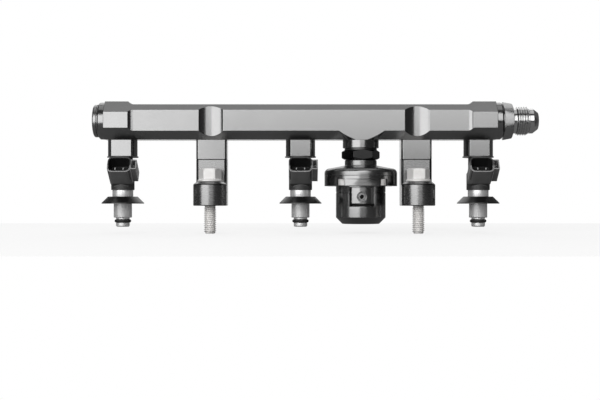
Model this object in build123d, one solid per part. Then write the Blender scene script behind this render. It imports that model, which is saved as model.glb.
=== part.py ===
"""A three-injector fuel rail with its injectors, mounting feet, pulsation damper, inlet fitting and plug.

Frame: the origin is on the middle injector's axis, level with the seats of the two feet. +X runs
along the rail to the inlet fitting, -Y is the side that the electrical sockets face, +Z is up.
Lengths are in millimetres. "Below the rail" means below the axis of its main bore.
"""
from build123d import *
import math
import os

# Fits, all radial unless a depth is named
screw_gap = 0.05          # a thread, drawn at its full diameter, in its tapped hole
seal_gap = 0.07           # an O-ring beside the walls of its groove
slip_gap = 0.05           # one injector piece in another
bolt_gap = 0.4            # a bolt in its clearance hole

# Rail bar: an octagon with a square turned end on each side of the milled middle
rail_height = 56.1        # main bore's axis above the feet's seats
rail_across = 25.4        # across the octagon's flats
block_end = 129.0         # from the middle to where the octagon stops
spigot_d = 24.6
spigot_end = 133.5        # from the middle to the turned end faces
spigot_chamfer = 1.0
relief_floor_end = 109.5  # the milled front and top are flat as far as this
relief_corner_r = 5.0     # left by the cutter at the ends of the milled faces
front_relief = 1.4
top_relief = 2.1
main_bore_d = 14.3

# Web below the bar, as thick as the injector bosses and bracket lugs; the bar's lower slopes end on it
web_half = 7.25
injector_pitch = 118.0
injector_count = 3
boss_d = 19.5
boss_drop = 23.5          # boss end face below the rail
injector_bore_d = 11.0
injector_bore_depth = 14.0
feed_drill_d = 6.0
bore_lead_in = 0.7
foot_x = (-58.6, 76.4)
lug_width = 20.2
lug_edge = 1.2
lug_drop = 25.6
scallop_width = 16.1      # tool clearance in the bar's front over each foot bolt
scallop_depth = 2.5

# Straight-thread O-ring port, the same at both ends and under the damper boss
port_thread_d = 19.05
port_seat_d = 20.9
port_seat_depth = 2.3
port_depth = 15.0
port_ring_section = 2.2
port_ring_inner_d = 16.36
stem_engaged = 12.5

# Damper boss
damper_x = 40.0
damper_boss_d = 23.9
damper_boss_drop = 18.1
damper_cone_start = 12.9  # below the rail, where the boss starts to flare into the bar
damper_cone_slope = 40.0  # degrees above level

# Feet
foot_reach = 17.5         # foot bolt's axis in front of the rail's axis
foot_d = 21.8
foot_wall_top = 13.8
foot_top = 15.75
foot_top_d = 16.6
foot_bolt_d = 8.0
foot_bolt_below = 18.0    # shank below the seats
foot_shank_d = 7.2        # unthreaded part of the bolt, inside the foot
foot_thread_start = 0.3   # thread's upper end below the seats
foot_flange_d = 16.4
foot_flange_thick = 1.9
foot_hex_across = 13.0
foot_hex_thick = 6.4
lug_screw_d = 6.0
lug_screw_head_d = 10.0
lug_screw_head_thick = 6.0
lug_screw_sunk = 1.0      # head below the foot's seat
lug_screw_hex = 5.0
lug_screw_engaged = 12.5
tap_spare = 1.5           # tapped hole deeper than its screw

# Inlet fitting and end plug, measured out from the rail's end face
washer_face_d = 20.4
washer_face_thick = 0.5
fitting_hex_across = 22.2
fitting_hex_thick = 6.0
flare_neck_d = 16.5
flare_neck_length = 2.6
flare_thread_d = 19.05
flare_thread_length = 7.9
flare_groove_length = 0.6
flare_land_length = 2.8
flare_half_angle = 37.0
flare_end_d = 11.4
flare_bore_d = 10.4
plug_head_d = 21.6
plug_shoulder_thick = 0.8
plug_head_thick = 2.5
plug_edge_r = 1.2
plug_hex = 9.5
plug_hex_depth = 6.0

# Damper, from the boss's face down to the joint between its halves, and depths below that joint
nut_across = 22.2
nut_thick = 6.3
nut_turn = 5.0            # degrees that the nut's flats stand off the rail's front
stem_washer_thick = 1.3
stem_washer_d = 21.4
nut_to_neck = 0.2
damper_neck_d = 21.2
neck_length = 3.6
cap_height = 7.0          # neck's foot above the joint
cap_d = 48.2
cap_top_fall = 11.0       # degrees that the cap's top falls to its rim
cap_edge_r = 3.2
stem_bore_d = 11.0
chamber_d = 30.0
chamber_depth = 2.4
stop_d = 16.0             # ring in the chamber that the diaphragm rests on
diaphragm_to_screw = 0.4
diaphragm_thick = 0.8
flange_thick = 6.7
flange_flat_depth = 2.6   # flat on the flange's front, below its round
screw_count = 5
screw_inset = 3.5         # screw's axis inside the cap's rim
screw_seat_depth = 2.4
damper_screw_d = 4.0
damper_screw_head_d = 7.0
damper_screw_head_thick = 4.0
damper_screw_engaged = 3.0
counterbore_d = 8.6
bonnet_d = 33.0
bonnet_length = 31.7
bonnet_chamfer = 4.3
bonnet_bore_d = 23.0
bonnet_floor = 3.2
seat_well_depth = 3.6     # wide top of the bonnet's bore, under the diaphragm
seat_d = 26.0
seat_thick = 1.8
seat_hub_d = 12.0
seat_hub_length = 4.0
spring_wire_d = 2.2
spring_mean_d = 16.4
spring_turns = 6
step_depth = 11.2
step_groove = 0.6
pocket_depth = 2.2        # curved pocket in the bonnet's front, below its round
pocket_top_depth = 7.5
pocket_length = 10.6
pocket_width = 16.4
side_port_depth = 13.8
port_rim_d = 6.4
port_rim_depth = 0.5
port_screw_d = 4.8
port_screw_length = 2.0
port_screw_hex = 2.5

# Injector, from the boss's end face down
collar_height = 4.7
collar_rim = 0.5
collar_base_d = 28.0
collar_top_d = 19.5
barrel_d = 13.7
barrel_shown = 4.3        # between the collar and the housing
collar_bore_d = 13.1
pilot_d = 12.0
pilot_length = 9.3
can_d = 10.4
can_length = 11.7
nozzle_d = 9.0
nozzle_groove_d = 6.4
nozzle_length = 6.0
nozzle_ring_section = 2.2
nozzle_hole_d = 4.0
inlet_d = 8.6
inlet_bore_d = 5.4
inlet_land_d = 10.6
inlet_groove_d = 6.4
inlet_groove_length = 2.6
inlet_ring_section = 2.2
inlet_ring_above_face = 6.6
inlet_lip = 1.8
filter_length = 9.0
filter_wall = 0.5
stop_ring_d = 20.6
stop_ring_thick = 0.8
housing_length = 21.5
housing_foot_d = 15.4
housing_foot_length = 11.0
housing_d = 13.2
socket_width = 15.3
socket_height = 12.0
socket_wall = 0.85
socket_corner = 3.2
socket_length = 16.0
socket_depth = 10.0
socket_tilt = 35.0        # degrees that the socket points above level
mouth_reach = 16.0        # middle of the socket's mouth in front of the injector's axis
mouth_drop = 5.6          # middle of the socket's mouth below the boss's end face
latch_width = 4.0
latch_height = 7.7
latch_up = 0.1            # latch channel's middle above the socket's middle
latch_length = 14.0
latch_wall = 0.7
latch_pocket = 6.0
pin_pitch = 5.3
pin_width = 0.8
pin_height = 1.5
pin_length = 7.7
pin_down = 1.8            # pins below the socket's middle

rail_end_z = rail_height - boss_drop
front_face = rail_across / 2 - front_relief
octagon_side = rail_across * math.tan(math.radians(22.5))
damper_boss_z = rail_height - damper_boss_drop
nut_top = damper_boss_z - stem_washer_thick
nut_bottom = nut_top - nut_thick
neck_top = nut_bottom - nut_to_neck
neck_bottom = neck_top - neck_length
split_height = neck_bottom - cap_height
flange_bottom = split_height - flange_thick
flange_flat = cap_d / 2 - flange_flat_depth
screw_circle_d = cap_d - 2 * screw_inset
screw_seat_height = split_height - screw_seat_depth
diaphragm_d = screw_circle_d - damper_screw_d - 2 * diaphragm_to_screw
bonnet_bottom = split_height - bonnet_length
port_height = split_height - side_port_depth
housing_top = rail_end_z - stop_ring_thick
barrel_top = housing_top - housing_length
can_top = barrel_top + can_length
collar_top = barrel_top - barrel_shown
collar_bottom = collar_top - collar_height
pilot_bottom = collar_bottom - pilot_length
injector_x = [injector_pitch * (i - (injector_count - 1) / 2) for i in range(injector_count)]


def turned(*points):
    """A solid turned about Z, through corners given as radius and height."""
    return revolve(make_face(Polyline(*[(r, 0, z) for r, z in points], close=True)), Axis.Z)


def rod(diameter, bottom, top):
    """A plain round bar along Z."""
    upward = (Align.CENTER, Align.CENTER, Align.MIN)
    return Pos(0, 0, bottom) * Cylinder(diameter / 2, top - bottom, align=upward)


def block(x, y, z):
    """A box from three pairs of limits."""
    low = (x[0], y[0], z[0])
    return Pos(*low) * Box(x[1] - x[0], y[1] - y[0], z[1] - z[0], align=(Align.MIN, Align.MIN, Align.MIN))


def hexagon(across, bottom, top):
    """A hexagonal bar along Z with two flats facing the front and back."""
    flats = RegularPolygon(across / 2, 6, major_radius=False)
    return Pos(0, 0, bottom) * extrude(flats, top - bottom)


def corner_cone(across, bottom, top, at_bottom, at_top):
    """The turned solid that takes the corners off a hexagon at 30 degrees, at either end or both."""
    corner = across / math.sqrt(3)
    inner = 0.97 * across / 2
    fall = (corner - inner) * math.tan(math.radians(30))
    points = [(0, bottom)]
    points += [(inner, bottom), (corner, bottom + fall)] if at_bottom else [(corner, bottom)]
    points += [(corner, top - fall), (inner, top)] if at_top else [(corner, top)]
    points += [(0, top)]
    return turned(*points)


def ring(inner_d, section, height):
    """An O-ring about Z whose middle is at this height."""
    return Pos(0, 0, height) * Torus(inner_d / 2 + section / 2, section / 2)


def ring_in(outer_d, section, height):
    """An O-ring that stands just clear of a bore of this diameter."""
    return ring(outer_d - 2 * seal_gap - 2 * section, section, height)


def port_cutter(depth):
    """What a straight-thread O-ring port removes, going down from a face at height 0."""
    thread = port_thread_d / 2 + screw_gap
    seat = port_seat_d / 2
    return turned((0, 1), (seat, 1), (seat, -port_seat_depth), (thread, -port_seat_depth),
                  (thread, -depth), (0, -depth))


def port_stem(engaged, bore_d=0):
    """The threaded stem that fills such a port, with the relief that its O-ring sits in."""
    relief = port_ring_inner_d / 2 - seal_gap
    thread = port_thread_d / 2
    stem = turned((0, 0), (relief, 0), (relief, -port_seat_depth), (thread - 0.8, -port_seat_depth),
                  (thread, -port_seat_depth - 0.8), (thread, 0.8 - engaged), (thread - 0.8, -engaged),
                  (0, -engaged))
    return stem - rod(bore_d, -engaged, 0) if bore_d else stem


def port_ring():
    """The O-ring of such a port, squeezed between the seat and the face at height 0."""
    return ring(port_ring_inner_d, port_ring_section, -port_seat_depth / 2)


def at_rail_end(piece, side):
    """Turns a piece made along Z to stand out of one end of the rail."""
    return Pos(side * spigot_end, 0, rail_height) * (Rot(0, side * 90, 0) * piece)


def rail_bar():
    """The eight-sided bar with turned ends and its milled front and top, about its own bore's axis."""
    half, side = rail_across / 2, octagon_side / 2
    outline = Polyline((-half, side), (-side, half), (side, half), (half, side), (half, -side),
                       (web_half, -half), (-web_half, -half), (-half, -side), close=True)
    bar = extrude(Plane.YZ * make_face(outline), block_end, both=True)
    spigot = extrude(Plane.YZ * Circle(spigot_d / 2), spigot_end, both=True)
    ends = spigot.faces().sort_by(Axis.X)
    spigot = chamfer([ends[0].edges()[0], ends[-1].edges()[0]], spigot_chamfer)
    half = relief_floor_end + relief_corner_r
    slot = RectangleRounded(2 * half, 2 * rail_across, relief_corner_r)
    front = Pos(0, -front_face - rail_across, 0) * extrude(Plane.XY * slot, rail_across, both=True)
    top_face = rail_across / 2 - top_relief
    top = Pos(0, 0, top_face + rail_across) * extrude(Plane.XZ * slot, rail_across, both=True)
    return bar + spigot - front - top


def damper_boss():
    """The damper's round boss and the cone that flares it into the bar, about the rail's axis."""
    straight = rod(damper_boss_d, -damper_boss_drop, -damper_cone_start)
    straight += rod(damper_boss_d - 2 * front_relief, -damper_cone_start, 0)
    rise = damper_cone_start - octagon_side / 2
    grow = rise / math.tan(math.radians(damper_cone_slope))
    low = damper_boss_d / 2
    flare = turned((0, -damper_cone_start), (low, -damper_cone_start), (low + grow, rise - damper_cone_start),
                   (0, rise - damper_cone_start))
    wide = low + grow
    flare &= block((-wide, wide), (-front_face, rail_across / 2), (-rail_across, 0))
    return Pos(damper_x, 0, 0) * (straight + flare)


def injector_boss():
    """One boss below the bar: round, with the web's two flats."""
    column = rod(boss_d, -boss_drop, 0)
    return column & block((-boss_d, boss_d), (-web_half, web_half), (-boss_drop, 0))


def bracket_section(bottom, top):
    """The upright that lug and bracket share, with its four upright edges chamfered."""
    outline = chamfer(Rectangle(lug_width, 2 * web_half).vertices(), lug_edge)
    return Pos(0, 0, bottom) * extrude(outline, top - bottom)


def rail_body():
    """The rail, machined from one extrusion."""
    body = rail_bar() + damper_boss()
    for x in injector_x:
        body += Pos(x, 0, 0) * injector_boss()
    for x in foot_x:
        body += Pos(x, 0, 0) * bracket_section(-lug_drop, 0)
    scallop_r = (scallop_width ** 2 / 4 + scallop_depth ** 2) / (2 * scallop_depth)
    scallop = rod(2 * scallop_r, -rail_across, rail_across)
    for x in foot_x:
        body -= Pos(x, scallop_depth - front_face - scallop_r, 0) * scallop
    body -= extrude(Plane.YZ * Circle(main_bore_d / 2), spigot_end, both=True)
    bore_r = injector_bore_d / 2
    face = -boss_drop
    drill = turned((0, face - 1), (bore_r + bore_lead_in, face - 1), (bore_r + bore_lead_in, face),
                   (bore_r, face + bore_lead_in), (bore_r, face + injector_bore_depth),
                   (feed_drill_d / 2, face + injector_bore_depth), (feed_drill_d / 2, 0), (0, 0))
    for x in injector_x:
        body -= Pos(x, 0, 0) * drill
    tapped = rod(lug_screw_d + 2 * screw_gap, -lug_drop, -lug_drop + lug_screw_engaged + tap_spare)
    for x in foot_x:
        body -= Pos(x, 0, 0) * tapped
    body -= Pos(damper_x, 0, -damper_boss_drop) * (Rot(180, 0, 0) * port_cutter(damper_boss_drop))
    body = Pos(0, 0, rail_height) * body
    for side in (-1, 1):
        body -= at_rail_end(port_cutter(port_depth), side)
    return body


def end_plug():
    """A plug with a round head and a hexagon socket."""
    shoulder = washer_face_d / 2
    top = plug_shoulder_thick + plug_head_thick
    head = rod(plug_head_d, plug_shoulder_thick, top)
    head = fillet(head.faces().sort_by(Axis.Z)[-1].edges(), plug_edge_r)
    plug = head + rod(2 * shoulder, 0, plug_shoulder_thick) + port_stem(stem_engaged)
    return plug - hexagon(plug_hex, top - plug_hex_depth, top)


def inlet_fitting():
    """A flare fitting: port stem, hexagon, thread and 37 degree nose, bored through."""
    hex_bottom = washer_face_thick
    hex_top = hex_bottom + fitting_hex_thick
    neck, thread, end = flare_neck_d / 2, flare_thread_d / 2, flare_end_d / 2
    thread_bottom = hex_top + flare_neck_length
    thread_top = thread_bottom + flare_thread_length
    land_bottom = thread_top + flare_groove_length
    land_top = land_bottom + flare_land_length
    nose_top = land_top + (neck - end) / math.tan(math.radians(flare_half_angle))
    shoulder = washer_face_d / 2
    lead = 0.6
    flare = turned((0, 0), (shoulder, 0), (shoulder, hex_bottom), (neck, hex_bottom), (neck, thread_bottom),
                   (thread - lead, thread_bottom), (thread, thread_bottom + lead),
                   (thread, thread_top - lead), (thread - lead, thread_top),
                   (neck - lead, thread_top), (neck - lead, land_bottom),
                   (neck, land_bottom), (neck, land_top), (end, nose_top), (0, nose_top))
    nut = hexagon(fitting_hex_across, hex_bottom, hex_top)
    nut &= corner_cone(fitting_hex_across, hex_bottom, hex_top, False, True)
    fitting = flare + nut + port_stem(stem_engaged)
    return fitting - rod(flare_bore_d, -stem_engaged, nose_top)


def bracket():
    """A foot and its upright in one piece, standing at X 0 with its seat at height 0."""
    top = rail_height - lug_drop
    upright = bracket_section(0, top)
    foot_r, top_r = foot_d / 2, foot_top_d / 2
    pad = turned((0, 0), (foot_r, 0), (foot_r, foot_wall_top), (top_r, foot_top), (0, foot_top))
    bridge = block((-lug_width / 2, lug_width / 2), (-foot_reach, 0), (0, foot_wall_top))
    body = upright + bridge + Pos(0, -foot_reach, 0) * pad
    body -= Pos(0, -foot_reach, 0) * rod(foot_bolt_d + 2 * bolt_gap, 0, foot_top)
    seat = lug_screw_sunk + lug_screw_head_thick
    body -= rod(lug_screw_head_d + 2 * bolt_gap, 0, seat)
    return body - rod(lug_screw_d + 2 * bolt_gap, seat, top)


def foot_bolt():
    """A flanged hexagon bolt."""
    hex_bottom = foot_top + foot_flange_thick
    hex_top = hex_bottom + foot_hex_thick
    flange, corner = foot_flange_d / 2, foot_hex_across / 2
    thread, plain = foot_bolt_d / 2, foot_shank_d / 2
    tip = 0.8
    body = turned((0, -foot_bolt_below), (thread - tip, -foot_bolt_below), (thread, tip - foot_bolt_below),
                  (thread, plain - thread - foot_thread_start), (plain, -foot_thread_start),
                  (plain, foot_top), (flange, foot_top), (flange, foot_top + tip), (corner, hex_bottom),
                  (0, hex_bottom))
    head = hexagon(foot_hex_across, foot_top + tip, hex_top)
    head &= corner_cone(foot_hex_across, foot_top + tip, hex_top, False, True)
    return body + head


def lug_screw():
    """A socket head screw that goes up through the bracket into the rail's lug."""
    seat = lug_screw_sunk + lug_screw_head_thick
    tip = rail_height - lug_drop + lug_screw_engaged
    screw = rod(lug_screw_head_d, lug_screw_sunk, seat) + rod(lug_screw_d, seat, tip)
    return screw - hexagon(lug_screw_hex, lug_screw_sunk, seat - lug_screw_head_thick / 2)


def damper_cap():
    """The damper's upper half: port stem, neck and domed cap over the fuel chamber."""
    neck, rim = damper_neck_d / 2, cap_d / 2
    rim_top = neck_bottom - (rim - neck) * math.tan(math.radians(cap_top_fall))
    dome = turned((0, split_height), (rim, split_height), (rim, rim_top), (neck, neck_bottom),
                  (0, neck_bottom))
    circles = dome.edges().filter_by(GeomType.CIRCLE)
    corner = circles.filter_by_position(Axis.Z, rim_top - 0.01, rim_top + 0.01)
    dome = fillet(corner, cap_edge_r)
    edge = 0.5
    collar = turned((0, neck_bottom - 1), (neck, neck_bottom - 1), (neck, neck_top - edge),
                    (neck - edge, neck_top), (0, neck_top))
    thread = port_thread_d / 2
    stem = rod(2 * thread, neck_top, damper_boss_z - stem_washer_thick / 2)
    relief = port_ring_inner_d / 2 - seal_gap
    stem += rod(2 * relief, neck_top, damper_boss_z + port_seat_depth)
    engaged = damper_boss_drop - main_bore_d / 2
    stem += rod(2 * thread, damper_boss_z + port_seat_depth, damper_boss_z + engaged)
    cap = dome + collar + stem
    cap -= rod(stem_bore_d, split_height, damper_boss_z + engaged)
    cap -= rod(chamber_d, split_height, split_height + chamber_depth) - rod(stop_d, split_height, cap_d)
    tapped = rod(damper_screw_d + 2 * screw_gap, split_height, split_height + damper_screw_engaged + 0.4)
    for spot in damper_screw_spots():
        cap -= spot * tapped
    return Pos(damper_x, 0, 0) * cap


def damper_screw_spots():
    """Places of the damper's screws, with the gap between two of them at the front."""
    turns = [-90 + (i + 0.5) * 360 / screw_count for i in range(screw_count)]
    return [Rot(0, 0, turn) * Pos(screw_circle_d / 2, 0, 0) for turn in turns]


def lock_nut():
    """The nut that locks the damper's stem in its port."""
    nut = hexagon(nut_across, nut_bottom, nut_top)
    nut &= corner_cone(nut_across, nut_bottom, nut_top, True, True)
    nut -= rod(port_thread_d + 2 * screw_gap, nut_bottom, nut_top)
    return Pos(damper_x, 0, 0) * (Rot(0, 0, nut_turn) * nut)


def stem_washer():
    """The backing washer between the lock nut and the boss."""
    top = damper_boss_z
    washer = rod(stem_washer_d, top - stem_washer_thick, top)
    washer -= rod(port_thread_d + 2 * screw_gap, top - stem_washer_thick, top)
    return Pos(damper_x, 0, 0) * washer


def stem_ring():
    """The O-ring of the damper's port."""
    return Pos(damper_x, 0, damper_boss_z) * (Rot(180, 0, 0) * port_ring())


def damper_bonnet():
    """The damper's lower half: screw flange and spring housing."""
    flange_r, body_r = cap_d / 2, bonnet_d / 2
    bore_r = bonnet_bore_d / 2
    flange = rod(2 * flange_r, flange_bottom, split_height)
    flange -= block((-flange_r, flange_r), (-2 * flange_r, -flange_flat), (flange_bottom, screw_seat_height))
    counterbore = rod(counterbore_d, flange_bottom, screw_seat_height)
    way_in = rod(damper_screw_head_d + 2 * bolt_gap, bonnet_bottom, screw_seat_height)
    way_in += rod(damper_screw_d + bolt_gap, screw_seat_height, split_height)
    for spot in damper_screw_spots():
        flange -= spot * counterbore
    chamfer_top = bonnet_bottom + bonnet_chamfer
    step = split_height - step_depth
    groove_top, groove_r = step + step_groove, body_r - step_groove / 2
    body = turned((0, bonnet_bottom), (body_r - bonnet_chamfer, bonnet_bottom), (body_r, chamfer_top),
                  (body_r, step), (groove_r, step), (groove_r, groove_top), (body_r, groove_top),
                  (body_r, split_height - 1), (0, split_height - 1))
    pocket_r, out_r = body_r - pocket_depth, body_r + 1
    pocket_top = split_height - pocket_top_depth
    pocket_bottom = pocket_top - pocket_length
    mill = turned((pocket_r, pocket_top), (pocket_r, pocket_bottom),
                  (out_r, pocket_bottom - (out_r - pocket_r)), (out_r, pocket_top))
    body -= mill & block((-pocket_width / 2, pocket_width / 2), (-2 * body_r, 0), (bonnet_bottom, pocket_top))
    bonnet = flange + body
    for spot in damper_screw_spots():
        bonnet -= spot * way_in
    well_top = split_height - diaphragm_thick
    floor = bonnet_bottom + bonnet_floor
    bonnet -= rod(2 * bore_r, floor, well_top) + rod(chamber_d, well_top - seat_well_depth, well_top)
    bonnet -= rod(diaphragm_d + 2 * slip_gap, well_top, split_height)
    hole = rod(port_screw_d + 2 * screw_gap, bore_r - 1, pocket_r)
    hole += rod(port_rim_d, pocket_r - port_rim_depth, pocket_r)
    bonnet -= Pos(0, 0, port_height) * (Rot(90, 0, 0) * hole)
    return Pos(damper_x, 0, 0) * bonnet


def damper_diaphragm():
    """The diaphragm, clamped at its rim between bonnet and cap."""
    return Pos(damper_x, 0, 0) * rod(diaphragm_d, split_height - diaphragm_thick, split_height)


def spring_seat():
    """The plate that carries the spring's push to the diaphragm, with a hub inside the spring."""
    top = split_height - diaphragm_thick
    plate = rod(seat_d, top - seat_thick, top)
    hub = rod(seat_hub_d, top - seat_thick - seat_hub_length, top)
    return Pos(damper_x, 0, 0) * (plate + hub)


def damper_spring():
    """The coil spring, with its two ends ground flat."""
    bottom = bonnet_bottom + bonnet_floor
    top = split_height - diaphragm_thick - seat_thick
    pitch = (top - bottom) / (spring_turns - 0.5)
    height = spring_turns * pitch
    start = bottom - pitch / 4
    path = Helix(pitch, height, spring_mean_d / 2)
    wire = Plane(path @ 0, z_dir=path % 0) * Circle(spring_wire_d / 2, align=(Align.CENTER, Align.CENTER))
    coil = Pos(0, 0, start) * sweep(wire, path, is_frenet=True)
    coil &= rod(2 * spring_mean_d, bottom, top)
    return Pos(damper_x, 0, 0) * coil


def damper_screws():
    """The socket head screws that join bonnet and cap, one solid each."""
    top = split_height + damper_screw_engaged
    head_bottom = screw_seat_height - damper_screw_head_thick
    screw = rod(damper_screw_head_d, head_bottom, screw_seat_height)
    screw += rod(damper_screw_d, screw_seat_height, top)
    screw -= hexagon(3.0, head_bottom, screw_seat_height - damper_screw_head_thick / 2)
    return [Pos(damper_x, 0, 0) * (spot * screw) for spot in damper_screw_spots()]


def port_screw():
    """The socket set screw that closes the bonnet's side port."""
    face = bonnet_d / 2 - pocket_depth - port_rim_depth
    screw = rod(port_screw_d, face - port_screw_length, face)
    screw -= hexagon(port_screw_hex, face - port_screw_length / 2, face)
    return Pos(damper_x, 0, port_height) * (Rot(90, 0, 0) * screw)


def injector_barrel():
    """The injector's steel body: pilot, collar seat, visible barrel and the can inside the housing."""
    return turned((0, pilot_bottom), (pilot_d / 2, pilot_bottom), (pilot_d / 2, collar_bottom),
                  (collar_bore_d / 2, collar_bottom), (collar_bore_d / 2, collar_top),
                  (barrel_d / 2, collar_top), (barrel_d / 2, barrel_top),
                  (can_d / 2, barrel_top), (can_d / 2, can_top), (0, can_top))


def injector_collar():
    """The cone that stands on the manifold and carries the barrel's shoulder."""
    inner = collar_bore_d / 2 + slip_gap
    return turned((inner, collar_bottom), (collar_base_d / 2, collar_bottom),
                  (collar_base_d / 2, collar_bottom + collar_rim), (collar_top_d / 2, collar_top),
                  (inner, collar_top))


def injector_nozzle():
    """The spray end below the pilot, with a groove for its O-ring."""
    land, groove = nozzle_d / 2, nozzle_groove_d / 2
    top = pilot_bottom
    groove_top = top - 1
    groove_bottom = groove_top - nozzle_ring_section - 2 * seal_gap
    bottom = top - nozzle_length
    nozzle = turned((0, top), (land, top), (land, groove_top), (groove, groove_top), (groove, groove_bottom),
                    (land, groove_bottom), (land, bottom + 0.6), (land - 0.6, bottom), (0, bottom))
    return nozzle - rod(nozzle_hole_d, bottom, bottom + 1.2)


def nozzle_ring():
    """The O-ring that seals the spray end."""
    height = pilot_bottom - 1 - seal_gap - nozzle_ring_section / 2
    return ring(nozzle_groove_d + 2 * seal_gap, nozzle_ring_section, height)


def inlet_ring_height():
    return rail_end_z + inlet_ring_above_face


def inlet_tube():
    """The tube at the injector's top, which carries the upper O-ring into the rail's boss."""
    tube, land, groove = inlet_d / 2, inlet_land_d / 2, inlet_groove_d / 2
    low = inlet_ring_height() - inlet_groove_length / 2
    high = inlet_ring_height() + inlet_groove_length / 2
    top = high + inlet_lip
    body = turned((0, can_top), (tube, can_top), (tube, low - 1.2), (land, low - 1.2), (land, low),
                  (groove, low), (groove, high), (land, high), (land, top - 0.8), (land - 0.8, top), (0, top))
    return body - rod(inlet_bore_d, can_top, top)


def inlet_ring():
    """The upper O-ring, in the rail's boss."""
    return ring_in(injector_bore_d, inlet_ring_section, inlet_ring_height())


def inlet_filter():
    """The basket filter pressed into the inlet tube."""
    top = inlet_ring_height() + inlet_groove_length / 2 + inlet_lip
    outer = inlet_bore_d - 2 * slip_gap
    basket = rod(outer, top - filter_length, top)
    return basket - rod(outer - 2 * filter_wall, top - filter_length + filter_wall, top)


def stop_ring():
    """The thin ring between the boss's end face and the injector's housing."""
    return rod(stop_ring_d, housing_top, rail_end_z) - rod(inlet_land_d + 0.4, housing_top, rail_end_z)


def socket_frame():
    """The socket's own frame: at the middle of its mouth, Z out of the socket, Y up its mouth."""
    tilt = math.radians(socket_tilt)
    mouth = (0, -mouth_reach, rail_end_z - mouth_drop)
    return Plane(mouth, x_dir=(1, 0, 0), z_dir=(0, -math.cos(tilt), math.sin(tilt)))


def injector_housing():
    """The moulded housing: a round trunk and the two-pin socket that points forward and up."""
    trunk = rod(housing_foot_d, barrel_top, barrel_top + housing_foot_length)
    trunk += rod(housing_d, barrel_top, housing_top)
    mouth = socket_frame()
    shell = extrude(mouth * RectangleRounded(socket_width, socket_height, socket_corner), -socket_length)
    latch_x = socket_width / 2 + latch_width / 2 - latch_wall / 2
    channel = Rectangle(latch_width, latch_height)
    latch = extrude(mouth * (Pos(latch_x, latch_up) * channel), -latch_length)
    housing = trunk + shell + latch
    inside = RectangleRounded(socket_width - 2 * socket_wall, socket_height - 2 * socket_wall,
                              socket_corner - socket_wall / 2)
    housing -= extrude(mouth * inside, -socket_depth)
    pocket = Rectangle(latch_width - 2 * latch_wall, latch_height - 2 * latch_wall)
    housing -= extrude(mouth * (Pos(latch_x, latch_up) * pocket), -latch_pocket)
    housing -= rod(can_d + 2 * slip_gap, barrel_top, can_top)
    return housing - rod(inlet_d + 2 * slip_gap, can_top, housing_top)


def injector_pins():
    """The two contact blades on the socket's floor, one solid each."""
    blade = Rectangle(pin_width, pin_height)
    floor = socket_frame().offset(-socket_depth)
    places = [Pos(side * pin_pitch / 2, -pin_down) for side in (-1, 1)]
    return [extrude(floor * (place * blade), pin_length) for place in places]


def write(name, shape):
    """Writes one node, which is a solid or a list of like solids."""
    solids = shape if isinstance(shape, list) else [shape]
    solids = [solid for item in solids for solid in item.solids()]
    node = solids[0] if len(solids) == 1 else Compound(children=solids)
    node.label = name
    export_step(node, f"parts/{name}.step")


os.makedirs("parts", exist_ok=True)
write("rail_body", rail_body())
write("end_plug", at_rail_end(end_plug(), -1))
write("end_plug_oring", at_rail_end(port_ring(), -1))
write("inlet_fitting", at_rail_end(inlet_fitting(), 1))
write("inlet_fitting_oring", at_rail_end(port_ring(), 1))

for side_name, x in zip(("left", "right"), foot_x):
    write(f"bracket_{side_name}", Pos(x, 0, 0) * bracket())
    write(f"foot_bolt_{side_name}", Pos(x, -foot_reach, 0) * foot_bolt())
write("bracket_screws", [Pos(x, 0, 0) * lug_screw() for x in foot_x])

write("damper_cap", damper_cap())
write("damper_lock_nut", lock_nut())
write("damper_stem_washer", stem_washer())
write("damper_stem_oring", stem_ring())
write("damper_bonnet", damper_bonnet())
write("damper_diaphragm", damper_diaphragm())
write("damper_spring_seat", spring_seat())
write("damper_spring", damper_spring())
write("damper_screws", damper_screws())
write("damper_port_screw", port_screw())

injector_pieces = {
    "barrel": injector_barrel,
    "collar": injector_collar,
    "nozzle": injector_nozzle,
    "nozzle_oring": nozzle_ring,
    "inlet_tube": inlet_tube,
    "inlet_oring": inlet_ring,
    "inlet_filter": inlet_filter,
    "stop_ring": stop_ring,
    "housing": injector_housing,
    "pins": injector_pins,
}
for number, x in enumerate(injector_x, start=1):
    for piece, make in injector_pieces.items():
        made = make()
        placed = [Pos(x, 0, 0) * item for item in (made if isinstance(made, list) else [made])]
        write(f"injector_{number}_{piece}", placed)
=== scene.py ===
"""Dresses the fuel rail's construction model for its picture.

Everything is in metres in the model's own frame: the origin is on the middle injector's axis, level with
the feet's seats, +X runs to the inlet fitting, -Y is the side that the sockets face and +Z is up.
"""
import math

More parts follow.
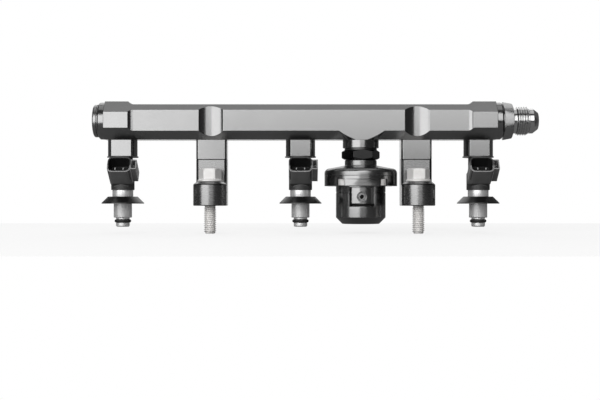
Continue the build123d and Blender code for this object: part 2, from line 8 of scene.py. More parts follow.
import bmesh
import bpy
import numpy as np
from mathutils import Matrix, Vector


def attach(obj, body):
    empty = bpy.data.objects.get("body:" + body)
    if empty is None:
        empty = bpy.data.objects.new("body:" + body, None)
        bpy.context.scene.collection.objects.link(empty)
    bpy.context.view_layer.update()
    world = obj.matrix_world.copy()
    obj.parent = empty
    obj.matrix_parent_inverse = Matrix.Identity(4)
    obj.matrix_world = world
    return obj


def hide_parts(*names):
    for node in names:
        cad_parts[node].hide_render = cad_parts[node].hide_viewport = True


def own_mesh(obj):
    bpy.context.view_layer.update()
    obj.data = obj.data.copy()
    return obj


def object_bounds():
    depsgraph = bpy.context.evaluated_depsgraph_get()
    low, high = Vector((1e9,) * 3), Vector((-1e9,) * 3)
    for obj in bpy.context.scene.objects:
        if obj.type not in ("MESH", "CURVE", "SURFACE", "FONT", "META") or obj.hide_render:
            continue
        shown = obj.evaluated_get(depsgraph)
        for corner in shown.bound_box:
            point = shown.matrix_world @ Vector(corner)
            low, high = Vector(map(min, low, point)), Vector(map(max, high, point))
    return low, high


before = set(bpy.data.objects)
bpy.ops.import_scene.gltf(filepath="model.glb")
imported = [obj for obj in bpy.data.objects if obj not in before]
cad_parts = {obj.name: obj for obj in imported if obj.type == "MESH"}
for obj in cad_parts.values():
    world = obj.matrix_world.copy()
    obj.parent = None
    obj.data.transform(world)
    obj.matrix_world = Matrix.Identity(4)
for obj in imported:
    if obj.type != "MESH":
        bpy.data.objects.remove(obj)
cad_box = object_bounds()


# Rail body
# One black anodised aluminium bar, milled flat on its front and top between two octagonal end blocks. The
# injector bosses, the lugs for the feet and the damper's boss are left standing below it, edges broken.
scene = bpy.context.scene
mm = 0.001


class Signal:
    """A value that changes over a surface. Python arithmetic on it adds Math nodes to its tree."""

    def __init__(self, tree, socket):
        self.tree = tree
        self.socket = socket

    def maths(self, operation, first, second=0.0, clamp=False):
        """Adds one Math node on two values, either of which may be a plain number."""
        node = self.tree.nodes.new("ShaderNodeMath")
        node.operation = operation
        node.use_clamp = clamp
        for socket, value in zip(node.inputs, (first, second)):
            if isinstance(value, Signal):
                self.tree.links.new(value.socket, socket)
            else:
                socket.default_value = value
        return Signal(self.tree, node.outputs[0])

    def __add__(self, other):
        return self.maths("ADD", self, other)

    __radd__ = __add__

    def __sub__(self, other):
        return self.maths("SUBTRACT", self, other)

    def __rsub__(self, other):
        return self.maths("SUBTRACT", other, self)

    def __mul__(self, other):
        return self.maths("MULTIPLY", self, other)

    __rmul__ = __mul__

    def above(self, level):
        """1 where the value is over the level, else 0."""
        return self.maths("GREATER_THAN", self, level)

    def held(self):
        """The value kept between 0 and 1."""
        return self.maths("ADD", self, 0.0, clamp=True)


class Shading:
    """A node tree with one way to add any node."""

    def __init__(self, tree):
        self.tree = tree

    def node(self, kind, settings=None, inputs=None, output=0):
        """Adds a node: its settings first, then its sockets' values or links. Returns one of its outputs."""
        made = self.tree.nodes.new(kind)
        for name, value in (settings or {}).items():
            setattr(made, name, value)
        for name, value in (inputs or {}).items():
            self.feed(made.inputs[name], value)
        return Signal(self.tree, made.outputs[output]) if made.outputs else None

    def feed(self, socket, value):
        """Links a signal to a socket, or sets the socket's own value."""
        if isinstance(value, Signal):
            self.tree.links.new(value.socket, socket)
        else:
            socket.default_value = value


class Finish(Shading):
    """A material of one Principled shader, patterned on object coordinates."""

    def __init__(self, name, **sockets):
        self.material = bpy.data.materials.new(name)
        self.material.use_nodes = True
        super().__init__(self.material.node_tree)
        self.shader = self.tree.nodes["Principled BSDF"]
        self.set(**sockets)

    def set(self, **sockets):
        """Sets the shader's sockets by name, with _ for each space."""
        for name, value in sockets.items():
            self.feed(self.shader.inputs[name.replace("_", " ")], value)

    def place(self, stretch=(1, 1, 1), centre=(0, 0, 0)):
        """Object coordinates about a centre, each axis multiplied by its stretch."""
        where = self.node("ShaderNodeTexCoord", output="Object")
        settled = self.node("ShaderNodeVectorMath", {"operation": "SUBTRACT"}, {0: where, 1: centre})
        return self.node("ShaderNodeVectorMath", {"operation": "MULTIPLY"}, {0: settled, 1: stretch})

    def along(self, axis, centre=(0, 0, 0)):
        """One of the object coordinates, measured from a centre."""
        return self.node("ShaderNodeSeparateXYZ", inputs={"Vector": self.place(centre=centre)}, output=axis)

    def noise(self, vector, scale, detail=2.0):
        """Cloudy noise about 0.5, with this many features to the unit of the vector."""
        return self.node("ShaderNodeTexNoise", {"noise_dimensions": "3D"},
                         {"Vector": vector, "Scale": scale, "Detail": detail})

    def blend(self, amount, first, second):
        """A colour between two colours."""
        return self.node("ShaderNodeMix", {"data_type": "RGBA"}, {0: amount, 6: first, 7: second}, output=2)

    def bump(self, height, depth, strength=1.0):
        """Feeds a height signal, times a depth in metres, to the shader's normal."""
        sockets = {"Height": height, "Distance": depth, "Strength": strength}
        self.set(Normal=self.node("ShaderNodeBump", inputs=sockets))

    def straight_marks(self, length, width):
        """Cutter marks of this length along X and this width across it."""
        return self.noise(self.place((1 / length, 1 / width, 1 / width)), 1.0)

    def round_marks(self, centre, along, width):
        """Lathe marks of this width, running round the axis along through the centre.

        The noise is read at the distance from the axis and the height along it, which stay the same all
        the way round. The centre lies beyond one end of the piece, where no height is counted twice.
        """
        across = tuple(1 - a for a in along)
        length = {"operation": "LENGTH"}
        radius = self.node("ShaderNodeVectorMath", length, {0: self.place(across, centre)}, output="Value")
        height = self.node("ShaderNodeVectorMath", length, {0: self.place(along, centre)}, output="Value")
        spot = self.node("ShaderNodeCombineXYZ", inputs={"X": radius, "Y": height})
        return self.noise(spot, 1 / width)


def grey(level, warm=0.0):
    """A grey colour, a little redder than neutral where warm is over 0."""
    return (level * (1 + warm), level, level * (1 - warm), 1)


def anodised(name, tone, roughness, marks, polished=None):
    """Satin black anodising: a cloudy dark tone with a fine sparkle, over the marks of the cutter.

    Where the polished mask is 1 the coat is thin and bright over a smoother cut.
    """
    finish = Finish(name, Metallic=1.0)
    cut = marks(finish)
    cloud = finish.noise(finish.place(), 70.0, 4.0)
    sparkle = finish.noise(finish.place(), 1500.0)
    shade = (0.5 * cloud + 0.5 * sparkle).held()
    colour = finish.blend(shade, grey(tone * 0.82), grey(tone * 1.18))
    gloss = roughness - 0.06 + 0.06 * cloud + 0.06 * cut
    if polished:
        mask = polished(finish)
        colour = finish.blend(mask, colour, grey(tone * 1.8))
        gloss = gloss - 0.08 * mask
    finish.set(Base_Color=colour, Roughness=gloss)
    finish.bump(0.6 * cut + 0.4 * sparkle, 0.006 * mm, 0.5)
    return finish.material


def add_piece(name, mesh, material, material_slot, *nodes):
    """Adds a finished mesh to the rail's body, in place of these CAD nodes."""
    mesh.materials.clear()
    mesh.materials.append(material)
    obj = bpy.data.objects.new(name, mesh)
    scene.collection.objects.link(obj)
    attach(obj, "rail")
    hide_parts(*nodes)
    return obj


merge_gap = 0.0005 * mm
flat_turn = math.radians(0.5)
sharp_turn = math.radians(28)


def joined(node, name):
    """A copy of a CAD node's mesh: loose triangles joined, flat faces made one, sharp past sharp_turn."""
    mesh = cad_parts[node].data.copy()
    mesh.name = name
    work = bmesh.new()
    work.from_mesh(mesh)
    bmesh.ops.remove_doubles(work, verts=work.verts, dist=merge_gap)
    bmesh.ops.dissolve_limit(work, angle_limit=flat_turn, verts=work.verts, edges=work.edges)
    work.to_mesh(mesh)
    work.free()
    if "custom_normal" in mesh.attributes:
        mesh.attributes.remove(mesh.attributes["custom_normal"])
    mesh.shade_smooth()
    mesh.set_sharp_from_angle(angle=sharp_turn)
    return mesh


def eased(node, name, material, material_slot, width=0.2 * mm, edge=None):
    """A copy of a CAD node with its edges broken: each one past sharp_turn gets a narrow bevel.

    The bevels may have a material of their own: painted highlight on the injectors' housings, painted shade
    on the feet.
    """
    mesh = joined(node, name)
    obj = add_piece(name, mesh, material, material_slot, node)
    bevel = obj.modifiers.new("broken_edges", "BEVEL")
    bevel.width = width
    bevel.segments = 2
    bevel.limit_method = "ANGLE"
    bevel.angle_limit = sharp_turn
    bevel.harden_normals = True
    bevel.use_clamp_overlap = False
    if edge:
        mesh.materials.append(edge)
        bevel.material = 1


rail_height = 56.1 * mm
cutter_marks = (3.5 * mm, 0.18 * mm)
milled = anodised("milled_black", 0.28, 0.20, lambda finish: finish.straight_marks(*cutter_marks))
eased("rail_body", "machined_rail", milled, "black_anodised", 0.22 * mm)


# End plug
# A turned aluminium plug with a hexagon socket, black anodised. It is screwed into the rail's left port
# against an O-ring.
beyond = -200 * mm
lathe_marks = 0.2 * mm


def port_marks(finish):
    """Lathe marks round the rail's own axis, counted from a point beyond its left end."""
    return finish.round_marks((beyond, 0, rail_height), (1, 0, 0), lathe_marks)


end_turned = anodised("end_turned_black", 0.31, 0.28, port_marks)
eased("end_plug", "socket_plug", end_turned, "black_anodised", 0.2 * mm)


# Inlet fitting
# A turned flare fitting for a fuel hose: hexagon, fine thread with real turns, and a 37 degree nose round
# the bore. It is anodised like the rail, but past the hexagon its thread and nose are brighter from the
# lathe.
hexagon_corners = np.radians([-30, -29, -28, -20, -10, 0, 10, 20, 28, 29])
corner_cut = math.radians(28.6)


def round_grid(count):
    """This many angles, spread evenly over a turn."""
    return np.arange(count) * (2 * math.pi / count)


def hexagon_grid():
    """Angles for a hexagon with a flat facing angle 0, closer together at its corners."""
    return (np.radians(np.arange(6) * 60.0)[:, None] + hexagon_corners[None, :]).ravel()


def flat_sided(across, angle):
    """A hexagon's radius: half its width over the cosine of the angle from the nearest flat's middle.

    Past corner_cut the radius grows no more, which takes the corner off.
    """
    off = np.abs((angle + math.pi / 6) % (math.pi / 3) - math.pi / 6)
    return across / 2 / np.cos(np.minimum(off, corner_cut))


def ease_corners(points, ease):
    """Rounds a profile's inner corners with a parabola that starts this far before and ends as far after.

    Each corner becomes four points (1-t)^2 before + 2t(1-t) corner + t^2 after.
    """
    points = np.asarray(points, float)
    corner = points[1:-1]
    back, on = points[:-2] - corner, points[2:] - corner
    reach = lambda step: np.minimum(ease / np.maximum(np.hypot(*step.T), 1e-9), 0.45)[:, None]
    before, after = corner + back * reach(back), corner + on * reach(on)
    t = np.array([0, 1 / 3, 2 / 3, 1])[None, :, None]
    bent = (1 - t) ** 2 * before[:, None] + 2 * t * (1 - t) * corner[:, None] + t ** 2 * after[:, None]
    return np.vstack([points[:1], bent.reshape(-1, 2), points[-1:]])


root_flat = 1 / 4
crest_flat = 1 / 8
lead_slope = 1.2
lead_step = 0.02 * mm


def thread_radius(height, angle, crest, depth, pitch, start, end):
    """A 60 degree thread's radius: a flat-topped triangle wave of height over pitch less the angle's turns.

    The wave is cut off flat at its root and crest. Near both ends the radius is at most a cone's that
    starts at the root, as on a chamfered thread.
    """
    wave = np.abs(2 * ((height / pitch - angle / (2 * math.pi)) % 1.0) - 1)
    flank = np.clip((wave - root_flat) / (1 - root_flat - crest_flat), 0, 1)
    lead = np.minimum(height - start, end - height) * lead_slope + lead_step
    return np.minimum(crest - depth + depth * flank, crest - depth + lead)


def turned_mesh(name, stations, angles, centre, along_x=False, shape=None, looped=False):
    """A surface turned about an axis through the centre.

    Station i of (height, radius) is carried round all the angles: the point is at its height along the
    axis and at shape(height, radius, angle) from it, or at its radius. Angle 0 faces -Y. A looped profile
    joins its last station to its first.
    """
    height, angle = np.meshgrid(stations[:, 0], angles, indexing="ij")
    radius = np.broadcast_to(stations[:, 1][:, None], height.shape)
    if shape:
        radius = shape(height, radius, angle)
    if along_x:
        grid = np.stack([height, -radius * np.cos(angle), radius * np.sin(angle)], -1)
    else:
        grid = np.stack([radius * np.sin(angle), -radius * np.cos(angle), height], -1)
    grid = grid + np.asarray(centre)
    rows, turns = height.shape
    corner = np.arange(rows * turns).reshape(rows, turns)
    ahead = np.roll(corner, -1, 0) if looped else corner[1:]
    here = corner if looped else corner[:-1]
    quads = np.stack([here, np.roll(here, -1, 1), np.roll(ahead, -1, 1), ahead], -1).reshape(-1, 4)
    mesh = bpy.data.meshes.new(name)
    mesh.from_pydata(grid.reshape(-1, 3).tolist(), [], quads.tolist())
    return mesh


def closed(mesh):
    """Merges a mesh's seams and poles, turns its faces outwards and smooths all edges up to sharp_turn."""
    work = bmesh.new()
    work.from_mesh(mesh)
    bmesh.ops.remove_doubles(work, verts=work.verts, dist=merge_gap)
    bmesh.ops.dissolve_degenerate(work, edges=work.edges, dist=merge_gap)
    bmesh.ops.recalc_face_normals(work, faces=work.faces)
    work.to_mesh(mesh)
    work.free()
    mesh.shade_smooth()
    mesh.set_sharp_from_angle(angle=sharp_turn)
    return mesh


port_x = 133.5 * mm
hexagon_top = 6.5 * mm
hexagon_chamfer = 11.35 * mm
fitting_hexagon = 22.2 * mm
fitting_thread = (9.1 * mm, 17.0 * mm)
fitting_crest = 9.525 * mm
fitting_depth = 0.974 * mm
fitting_pitch = 1.5875 * mm
back_profile = [(-12.5, 5.2), (-12.5, 8.72), (-11.7, 9.52), (-3.1, 9.52), (-2.3, 8.72), (-2.3, 8.11),
                (0, 8.11), (0, 10.2), (0.5, 10.2), (0.5, 12.8), (6.5, 12.8), (6.5, 8.25), (9.1, 8.25)]
thread_heights = np.linspace(*fitting_thread, 100)
front_profile = [(17.0, 7.65), (17.6, 7.65), (17.6, 8.25), (20.4, 8.25), (23.78, 5.7), (23.78, 5.2)]
fitting_stations = np.vstack([
    ease_corners(np.array(back_profile) * mm, 0.15 * mm),
    np.stack([thread_heights, np.full_like(thread_heights, fitting_crest)], 1),
    ease_corners(np.array(front_profile) * mm, 0.2 * mm)])


def fitting_shape(height, radius, angle):
    """The hexagon and the thread on their own stations, which limits on height and radius pick out.

    The hexagon's radius is flat_sided, and at most a cone's at 30 degrees to its outer face, which chamfers
    the corners. The thread's is thread_radius. Every other station keeps its radius.
    """
    cone = hexagon_chamfer + (hexagon_top - height) * math.tan(math.radians(60))
    nut = np.minimum(flat_sided(fitting_hexagon, angle), cone)
    radius = np.where(radius > 10.5 * mm, np.minimum(radius, nut), radius)
    start, end = fitting_thread
    cut = thread_radius(height, angle, fitting_crest, fitting_depth, fitting_pitch, start, end)
    return np.where((height >= start) & (height <= end) & (radius > 9 * mm), cut, radius)


bright_turned = anodised("inlet_turned_black", 0.36, 0.26, port_marks,
                         lambda finish: finish.along("X").above(port_x + hexagon_top + 0.1 * mm))
flare = turned_mesh("flare_inlet", fitting_stations, hexagon_grid(), (port_x, 0, rail_height),
                    along_x=True, shape=fitting_shape, looped=True)
add_piece("flare_inlet", closed(flare), bright_turned, "black_anodised", "inlet_fitting")


# Feet
# Each foot is milled and turned from one block of aluminium: an upright under the rail's lug and a round
# pad in front of it for the bolt. It is anodised black, and marks run round the pad. Its bevelled edges
# carry painted shade, a near-black copy of the finish.
foot_x = (-58.6 * mm, 76.4 * mm)
foot_y = -17.5 * mm
upright_front = -7.4 * mm
for side, x in zip(("left", "right"), foot_x):
    def pad_marks(finish, x=x):
        """Lathe marks round the pad, and straight ones behind it."""
        upright = finish.along("Y").above(upright_front)
        ring = finish.round_marks((x, foot_y, beyond), (0, 0, 1), lathe_marks)
        return ring * (1 - upright) + finish.straight_marks(*cutter_marks) * upright
    foot_black = anodised("foot_black_" + side, 0.28, 0.27, pad_marks)
    # Painted shade: the bevels along the foot's edges are near black.
    edge_painted_shade = anodised("foot_edge_painted_shade_" + side, 0.05, 0.3, pad_marks)
    eased("bracket_" + side, "foot_" + side, foot_black, "black_anodised", 0.45 * mm, edge_painted_shade)


# Foot bolts
# M8 flange bolts, bright plated steel, through the feet: a flange, a hexagon with a dished top and a coarse
# thread below the seat.
bolt_radius = 4 * mm
bolt_pitch = 1.25 * mm
bolt_depth = 0.767 * mm
bolt_thread = (-17.4 * mm, -0.6 * mm)
bolt_flange_top = 16.55 * mm
bolt_across = 13.0 * mm
bolt_chamfer = 6.55 * mm
bolt_top = 24.05 * mm
lower_profile = [(-18.0, 0), (-18.0, 2.9), (-17.4, 3.2)]
upper_profile = [(-0.6, 3.3), (-0.3, 3.6), (15.75, 3.6), (15.75, 8.2), (16.55, 8.2), (17.0, 7.5),
                 (17.65, 6.5), (17.7, 6.5), (23.2, 6.5), (24.05, 6.5), (24.05, 5.3), (23.7, 4.6), (23.7, 0)]
bolt_heights = np.linspace(*bolt_thread, 150)
bolt_stations = np.vstack([
    np.array(lower_profile) * mm,
    np.stack([bolt_heights, np.full_like(bolt_heights, bolt_radius)], 1),
    ease_corners(np.array(upper_profile) * mm, 0.12 * mm)])


def bolt_shape(height, radius, angle):
    """The thread's radius below the seat, and above the flange the wider of its slope and the head.

    The head is flat_sided, and at most a cone at 30 degrees to its top, which chamfers the corners.
    """
    start, end = bolt_thread
    cut = thread_radius(height, angle, bolt_radius, bolt_depth, bolt_pitch, start, end)
    radius = np.where((height >= start) & (height <= end) & (radius > 3.9 * mm), cut, radius)
    cone = bolt_chamfer + (bolt_top - height) * math.tan(math.radians(60))
    head = np.minimum(flat_sided(bolt_across, angle), cone)
    return np.where((height > bolt_flange_top) & (radius > 6.3 * mm), np.maximum(radius, head), radius)


def plated(name, tone, roughness, warm=0.0, marks=None, metal=1.0):
    """Bright steel, plated or turned: faint stains in its tone and fine scratches in its gloss.

    A metal share below 1 is for a coat that is partly matt, as zinc is.
    """
    finish = Finish(name, Metallic=metal)
    stain = finish.noise(finish.place(), 260.0, 4.0)
    scratch = marks(finish) if marks else finish.noise(finish.place((900.0, 900.0, 4000.0)), 1.0)
    dull, bright = grey(tone * 0.86, warm * 1.6), grey(tone * 1.1, warm * 0.6)
    finish.set(Base_Color=finish.blend(stain, dull, bright))
    finish.set(Roughness=roughness - 0.05 + 0.05 * stain + 0.05 * scratch)
    finish.bump(0.7 * scratch + 0.3 * stain, 0.008 * mm, 0.5)
    return finish.material


bolt_steel = plated("plated_bolt", 0.95, 0.5, warm=0.015, metal=0.28)
for side, x in zip(("left", "right"), foot_x):
    piece = "flange_bolt_" + side
    bolt = turned_mesh(piece, bolt_stations, hexagon_grid(), (x, foot_y, 0), shape=bolt_shape)
    add_piece(piece, closed(bolt), bolt_steel, "bolt_steel", "foot_bolt_" + side)


# Bracket screws
# Socket screws of black oxide steel, up through the feet from below into the rail's lugs. They show only
# from underneath.
def dress(node, material):
    """Gives a CAD node this material."""
    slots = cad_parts[node].data.materials
    slots.clear()
    slots.append(material)


oxide = plated("black_oxide", 0.10, 0.38)
dress("bracket_screws", oxide)


# Damper
# A pulsation damper on a threaded stem under the rail: two turned halves, black anodised, with a hexagon
# lock nut and a washer over them. Five bright socket screws go up through its flange, and a set screw shuts
# the port in its side.
damper_x = 40 * mm


def damper_marks(finish):
    """Lathe marks round the damper's axis."""
    return finish.round_marks((damper_x, 0, beyond), (0, 0, 1), lathe_marks)


cap_black = anodised("cap_black", 0.27, 0.27, damper_marks)
bonnet_black = anodised("bonnet_black", 0.28, 0.22, damper_marks)
nut_black = anodised("nut_black", 0.04, 0.27, damper_marks)
eased("damper_cap", "domed_cap", cap_black, "black_anodised", 0.2 * mm)
eased("damper_bonnet", "damper_body", bonnet_black, "black_anodised", 0.2 * mm)
eased("damper_lock_nut", "lock_nut", nut_black, "black_anodised", 0.25 * mm)
eased("damper_stem_washer", "stem_washer", oxide, "dark_steel", 0.12 * mm)

screw_steel = plated("screw_steel", 0.86, 0.45, warm=0.02, metal=0.35)
screw_circle = 20.6 * mm
screw_socket = 3 * mm
ridges = 36
ridge = 0.08 * mm
screw_profile = [(15.2, 0), (15.2, 1.5), (13.2, 1.5), (13.2, 3.5), (17.2, 3.5), (17.2, 2.0), (22.6, 2.0),
                 (22.6, 0)]


def knurled(height, radius, angle):
    """A hexagon socket in the end of the head, and ridges on its side: a cosine of the angle.

    Limits on height and radius pick out the stations of each.
    """
    inside = (radius > 0.4 * mm) & (height < 15.3 * mm) & (radius < 1.7 * mm)
    side = (radius > 3.45 * mm) & (height > 13.5 * mm) & (height < 17.0 * mm)
    radius = np.where(inside, flat_sided(screw_socket, angle), radius)
    return np.where(side, radius - ridge + ridge * np.cos(ridges * angle), radius)


screw_rows = ease_corners(np.array(screw_profile) * mm, 0.25 * mm)
heads = bmesh.new()
for bearing in map(math.radians, range(-54, 306, 72)):
    place = (damper_x + screw_circle * math.cos(bearing), screw_circle * math.sin(bearing), 0)
    heads.from_mesh(turned_mesh("screw", screw_rows, round_grid(108), place, shape=knurled))
screws = bpy.data.meshes.new("cap_screws")
heads.to_mesh(screws)
heads.free()
add_piece("cap_screws", closed(screws), screw_steel, "bolt_steel", "damper_screws")


port_height = 5.8 * mm
port_socket = 1.3 * mm


def set_screw_painted_socket_shade(name):
    """Dark steel, and painted shade in the set screw's hexagon socket: black nearer its axis than
    port_socket.
    """
    finish = Finish(name, Metallic=1.0)
    axis = finish.place((1, 0, 1), (damper_x, 0, port_height))
    radius = finish.node("ShaderNodeVectorMath", {"operation": "LENGTH"}, {0: axis}, output="Value")
    stain = finish.noise(finish.place(), 900.0, 3.0)
    ring = finish.blend(stain, grey(0.24), grey(0.36))
    # Painted shade: the hexagon socket is painted near black, the ring round it is stained steel.
    finish.set(Base_Color=finish.blend(radius.above(port_socket), grey(0.015), ring))
    finish.set(Roughness=0.2 + 0.1 * stain)
    return finish.material


eased("damper_port_screw", "port_screw", set_screw_painted_socket_shade("set_screw_painted_socket_shade"), "bolt_steel", 0.1 * mm)

# The spring stands on the bonnet's floor, on a mesh of its own.
coil = joined("damper_spring", "plate_spring")
spring = add_piece("plate_spring", coil, oxide, "dark_steel", "damper_spring")
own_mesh(spring)
dress("damper_spring_seat", plated("turned_seat", 0.6, 0.3, marks=damper_marks))


# Injectors
# Three alike, each hanging from a boss: a turned steel barrel in a black cone collar, with a spray tip and
# its seal below. Over the barrel is the moulded nylon housing, with a two-pin socket that points forwards
# and up.
mouth = (-16.0 * mm, 27.0 * mm)
mouth_tilt = math.radians(35)
socket_depth = (0.4 * mm, 10.1 * mm)
socket_half = (6.9 * mm, 5.3 * mm)
brow_half = 7.75 * mm
brow_level = -1.0 * mm
foot_level = 14.4 * mm


def moulded(name, tone, roughness, x, brow):
    """Black moulded plastic: a fine eroded grain and the faint flow of the melt in its gloss.

    Painted shade makes it darkest inside the socket's recess and on the foot low down. The socket's inside
    is a box in the frame of its mouth, which is tilted about X. The brow is the tone of the mouth's upper
    half.
    """
    finish = Finish(name, Metallic=0.0)
    flow = finish.noise(finish.place((1, 1, 0.4)), 160.0, 3.0)
    grain = finish.noise(finish.place(), 3600.0)
    across, out, up = (finish.along(axis, (x, *mouth)) for axis in "XYZ")
    depth = math.cos(mouth_tilt) * out - math.sin(mouth_tilt) * up
    height = math.sin(mouth_tilt) * out + math.cos(mouth_tilt) * up
    within = lambda signal, half: 1 - (signal * signal).above(half ** 2)
    inside = depth.above(socket_depth[0]) * (1 - depth.above(socket_depth[1]))
    inside = inside * within(across, socket_half[0]) * within(height, socket_half[1])
    upper = height.above(brow_level) * within(across, brow_half)
    foot = 1 - finish.along("Z").above(foot_level)
    shell = finish.blend(flow, grey(tone * 0.75), grey(tone * 1.25))
    shell = finish.blend(upper, shell, grey(brow))
    # Painted shade: the foot, below foot_level, is darker.
    shell = finish.blend(foot, shell, grey(tone * 0.3))
    # Painted shade: the socket's inside is near black.
    finish.set(Base_Color=finish.blend(inside, shell, grey(0.012)))
    finish.set(Roughness=roughness - 0.08 + 0.12 * flow + 0.04 * grain)
    finish.bump(grain, 0.012 * mm, 0.5)
    return finish.material


def rubber(name):
    """Fluoroelastomer: nearly black, with a dusty cloud in its gloss."""
    finish = Finish(name, Metallic=0.0)
    dust = finish.noise(finish.place(), 400.0, 4.0)
    finish.set(Base_Color=finish.blend(dust, grey(0.014), grey(0.03)))
    finish.set(Roughness=0.40 + 0.2 * dust)
    finish.bump(dust, 0.01 * mm, 0.4)
    return finish.material


seal_black = rubber("seal_rubber")
blade_metal = plated("tinned_blade", 0.8, 0.22)
barrel_profile = [(-8, 0), (-8, 5.6), (-7.6, 6.0), (1.3, 6.0), (1.3, 6.55), (6.0, 6.55), (6.0, 6.85),
                  (10.3, 6.85), (10.3, 5.2), (22, 5.2), (22, 0)]
barrel_rows = ease_corners(np.array(barrel_profile) * mm, 0.12 * mm)
injector_pitch = 118 * mm
fine_marks = 0.15 * mm
for number, x in zip((1, 2, 3), (-injector_pitch, 0, injector_pitch)):
    def injector_marks(finish, x=x):
        """Lathe marks round the injector's axis."""
        return finish.round_marks((x, 0, beyond), (0, 0, 1), fine_marks)
    piece = "injector_" + str(number)
    housing_black = moulded(piece + "_nylon", 0.14, 0.42, x, brow=0.06)
    # Painted highlight: the housing's bevels get a lighter copy of the nylon, dark only on the mouth's upper
    # half.
    painted_edge_highlight = moulded(piece + "_painted_edge_highlight", 0.45, 0.42, x, brow=0.05)
    turned_steel = plated(piece + "_steel", 0.88, 0.34, marks=injector_marks, metal=0.55)
    collar_black = anodised(piece + "_collar_black", 0.11, 0.30, injector_marks)
    body = turned_mesh(piece + "_body", barrel_rows, round_grid(96), (x, 0, 0))
    add_piece(piece + "_body", closed(body), turned_steel, "injector_steel", piece + "_barrel")
    eased(piece + "_collar", piece + "_cone", collar_black, "collar_black", 0.15 * mm)
    eased(piece + "_housing", piece + "_shell", housing_black, "housing_plastic", 0.3 * mm, painted_edge_highlight)
    eased(piece + "_stop_ring", piece + "_ring", housing_black, "housing_plastic", 0.15 * mm)
    eased(piece + "_pins", piece + "_blades", blade_metal, "pin_metal", 0.1 * mm)
    eased(piece + "_nozzle", piece + "_tip", turned_steel, "injector_steel", 0.12 * mm)
    dress(piece + "_inlet_tube", turned_steel)
    dress(piece + "_inlet_filter", turned_steel)
    dress(piece + "_nozzle_oring", seal_black)
    dress(piece + "_inlet_oring", seal_black)


# Seals
# Black fluoroelastomer: O-rings in the rail's ports and under the damper's washer, and the diaphragm that is
# clamped between the damper's halves.
for node in ("end_plug_oring", "inlet_fitting_oring", "damper_stem_oring", "damper_diaphragm"):
    dress(node, seal_black)


# Table
# A pale matt sheet just under the ends of the bolts. To the camera it is nearly white where nothing shades
# it, and it keeps the rail's shadow.
table_height = cad_box[0].z - 0.2 * mm
table_half = 0.3
paper_tone = 0.30
paper_glow = 0.77


def flat_sheet(name, half, height):
    """A square sheet: its corners are the four sign pairs times half its side, all at one height."""
    corner = np.array([(-1, -1), (1, -1), (1, 1), (-1, 1)]) * half
    mesh = bpy.data.meshes.new(name)
    mesh.from_pydata(np.column_stack([corner, np.full(4, height)]).tolist(), [], [(0, 1, 2, 3)])
    return mesh


paper = bpy.data.materials.new("table_paper")
paper.use_nodes = True
shading = Shading(paper.node_tree)
paper.node_tree.nodes.clear()
from_camera = shading.node("ShaderNodeLightPath", output="Is Camera Ray")
matt = shading.node("ShaderNodeBsdfDiffuse", inputs={"Color": grey(paper_tone)})
glow = shading.node("ShaderNodeEmission", inputs={"Color": grey(1.0), "Strength": from_camera * paper_glow})
both = shading.node("ShaderNodeAddShader", inputs={0: matt, 1: glow})
shading.node("ShaderNodeOutputMaterial", inputs={"Surface": both})
table = bpy.data.objects.new("table", flat_sheet("table", table_half, table_height))
table.data.materials.append(paper)
scene.collection.objects.link(table)


# Light
# A broad soft light fills the front, a stronger one stands at its left, a weak one hangs overhead and one
# lights the back from above. The camera sees a white room. What the rail mirrors is dim, a little less so
# behind it, apart from a round white sheet straight back.
lamp_aim = Vector((0, 0, 30 * mm))


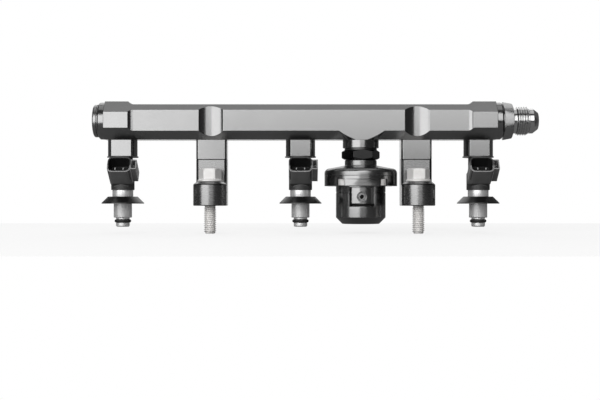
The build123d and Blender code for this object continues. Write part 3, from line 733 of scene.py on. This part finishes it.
def soft_light(name, azimuth, elevation, distance, width, height, radiance):
    """A rectangular lamp at this azimuth and elevation from the rail, facing it.

    Its power is its radiance times pi times its area.
    """
    lamp = bpy.data.lights.new(name, "AREA")
    lamp.shape = "RECTANGLE"
    lamp.size = width
    lamp.size_y = height
    lamp.energy = radiance * math.pi * width * height
    obj = bpy.data.objects.new(name, lamp)
    turn, rise = math.radians(azimuth), math.radians(elevation)
    out = Vector((math.sin(turn) * math.cos(rise), -math.cos(turn) * math.cos(rise), math.sin(rise)))
    obj.location = lamp_aim + distance * out
    obj.rotation_euler = out.to_track_quat("Z", "Y").to_euler()
    scene.collection.objects.link(obj)


soft_light("front_light", azimuth=8.5, elevation=24, distance=1.9, width=0.98, height=1.5, radiance=2.1)
soft_light("key_light", azimuth=-31.5, elevation=11, distance=1.9, width=1.81, height=1.77, radiance=2.5)
soft_light("top_light", azimuth=0, elevation=90, distance=1.4, width=1.6, height=1.0, radiance=0.58)
soft_light("back_light", azimuth=184, elevation=42, distance=1.9, width=2.0, height=1.5, radiance=1.1)

world = bpy.data.worlds.new("studio")
world.use_nodes = True
scene.world = world
world.node_tree.nodes.clear()
room = Shading(world.node_tree)
seen = room.node("ShaderNodeLightPath", output="Is Camera Ray")
mirrored = room.node("ShaderNodeLightPath", output="Is Glossy Ray")
through = room.node("ShaderNodeLightPath", output="Is Transmission Ray")
direction = room.node("ShaderNodeTexCoord", output="Generated")
behind = room.node("ShaderNodeSeparateXYZ", inputs={"Vector": direction}, output="Y")
# The sheet's edge is 17 degrees from straight back, and this is the cosine.
sheet_edge = 0.955
reflected = (mirrored + through) * behind.above(sheet_edge)
dimness = 0.05 + 0.06 * behind.above(0.0)
dim = room.node("ShaderNodeBackground", inputs={"Color": grey(1.0), "Strength": dimness})
white = room.node("ShaderNodeBackground", inputs={"Color": grey(1.0), "Strength": 1.0})
mixed = room.node("ShaderNodeMixShader", inputs={0: (seen + reflected).held(), 1: dim, 2: white})
room.node("ShaderNodeOutputWorld", inputs={"Surface": mixed})


# Camera
# Level, straight in front of the rail and at the height of the injectors' collars. The focal length and the
# frame's width are in pixels.
camera = bpy.data.objects.new("camera", bpy.data.cameras.new("camera"))
film = 36
frame_width = 600
focal_length = 1083.6
camera.data.sensor_width = film
camera.data.lens = film * focal_length / frame_width
camera.data.clip_start = 0.05
camera.data.clip_end = 50
camera.location = (-0.33 * mm, -720 * mm, 3.7 * mm)
camera.rotation_euler = (math.radians(90), 0, 0)
scene.collection.objects.link(camera)
scene.camera = camera
scene.view_settings.view_transform = "Standard"
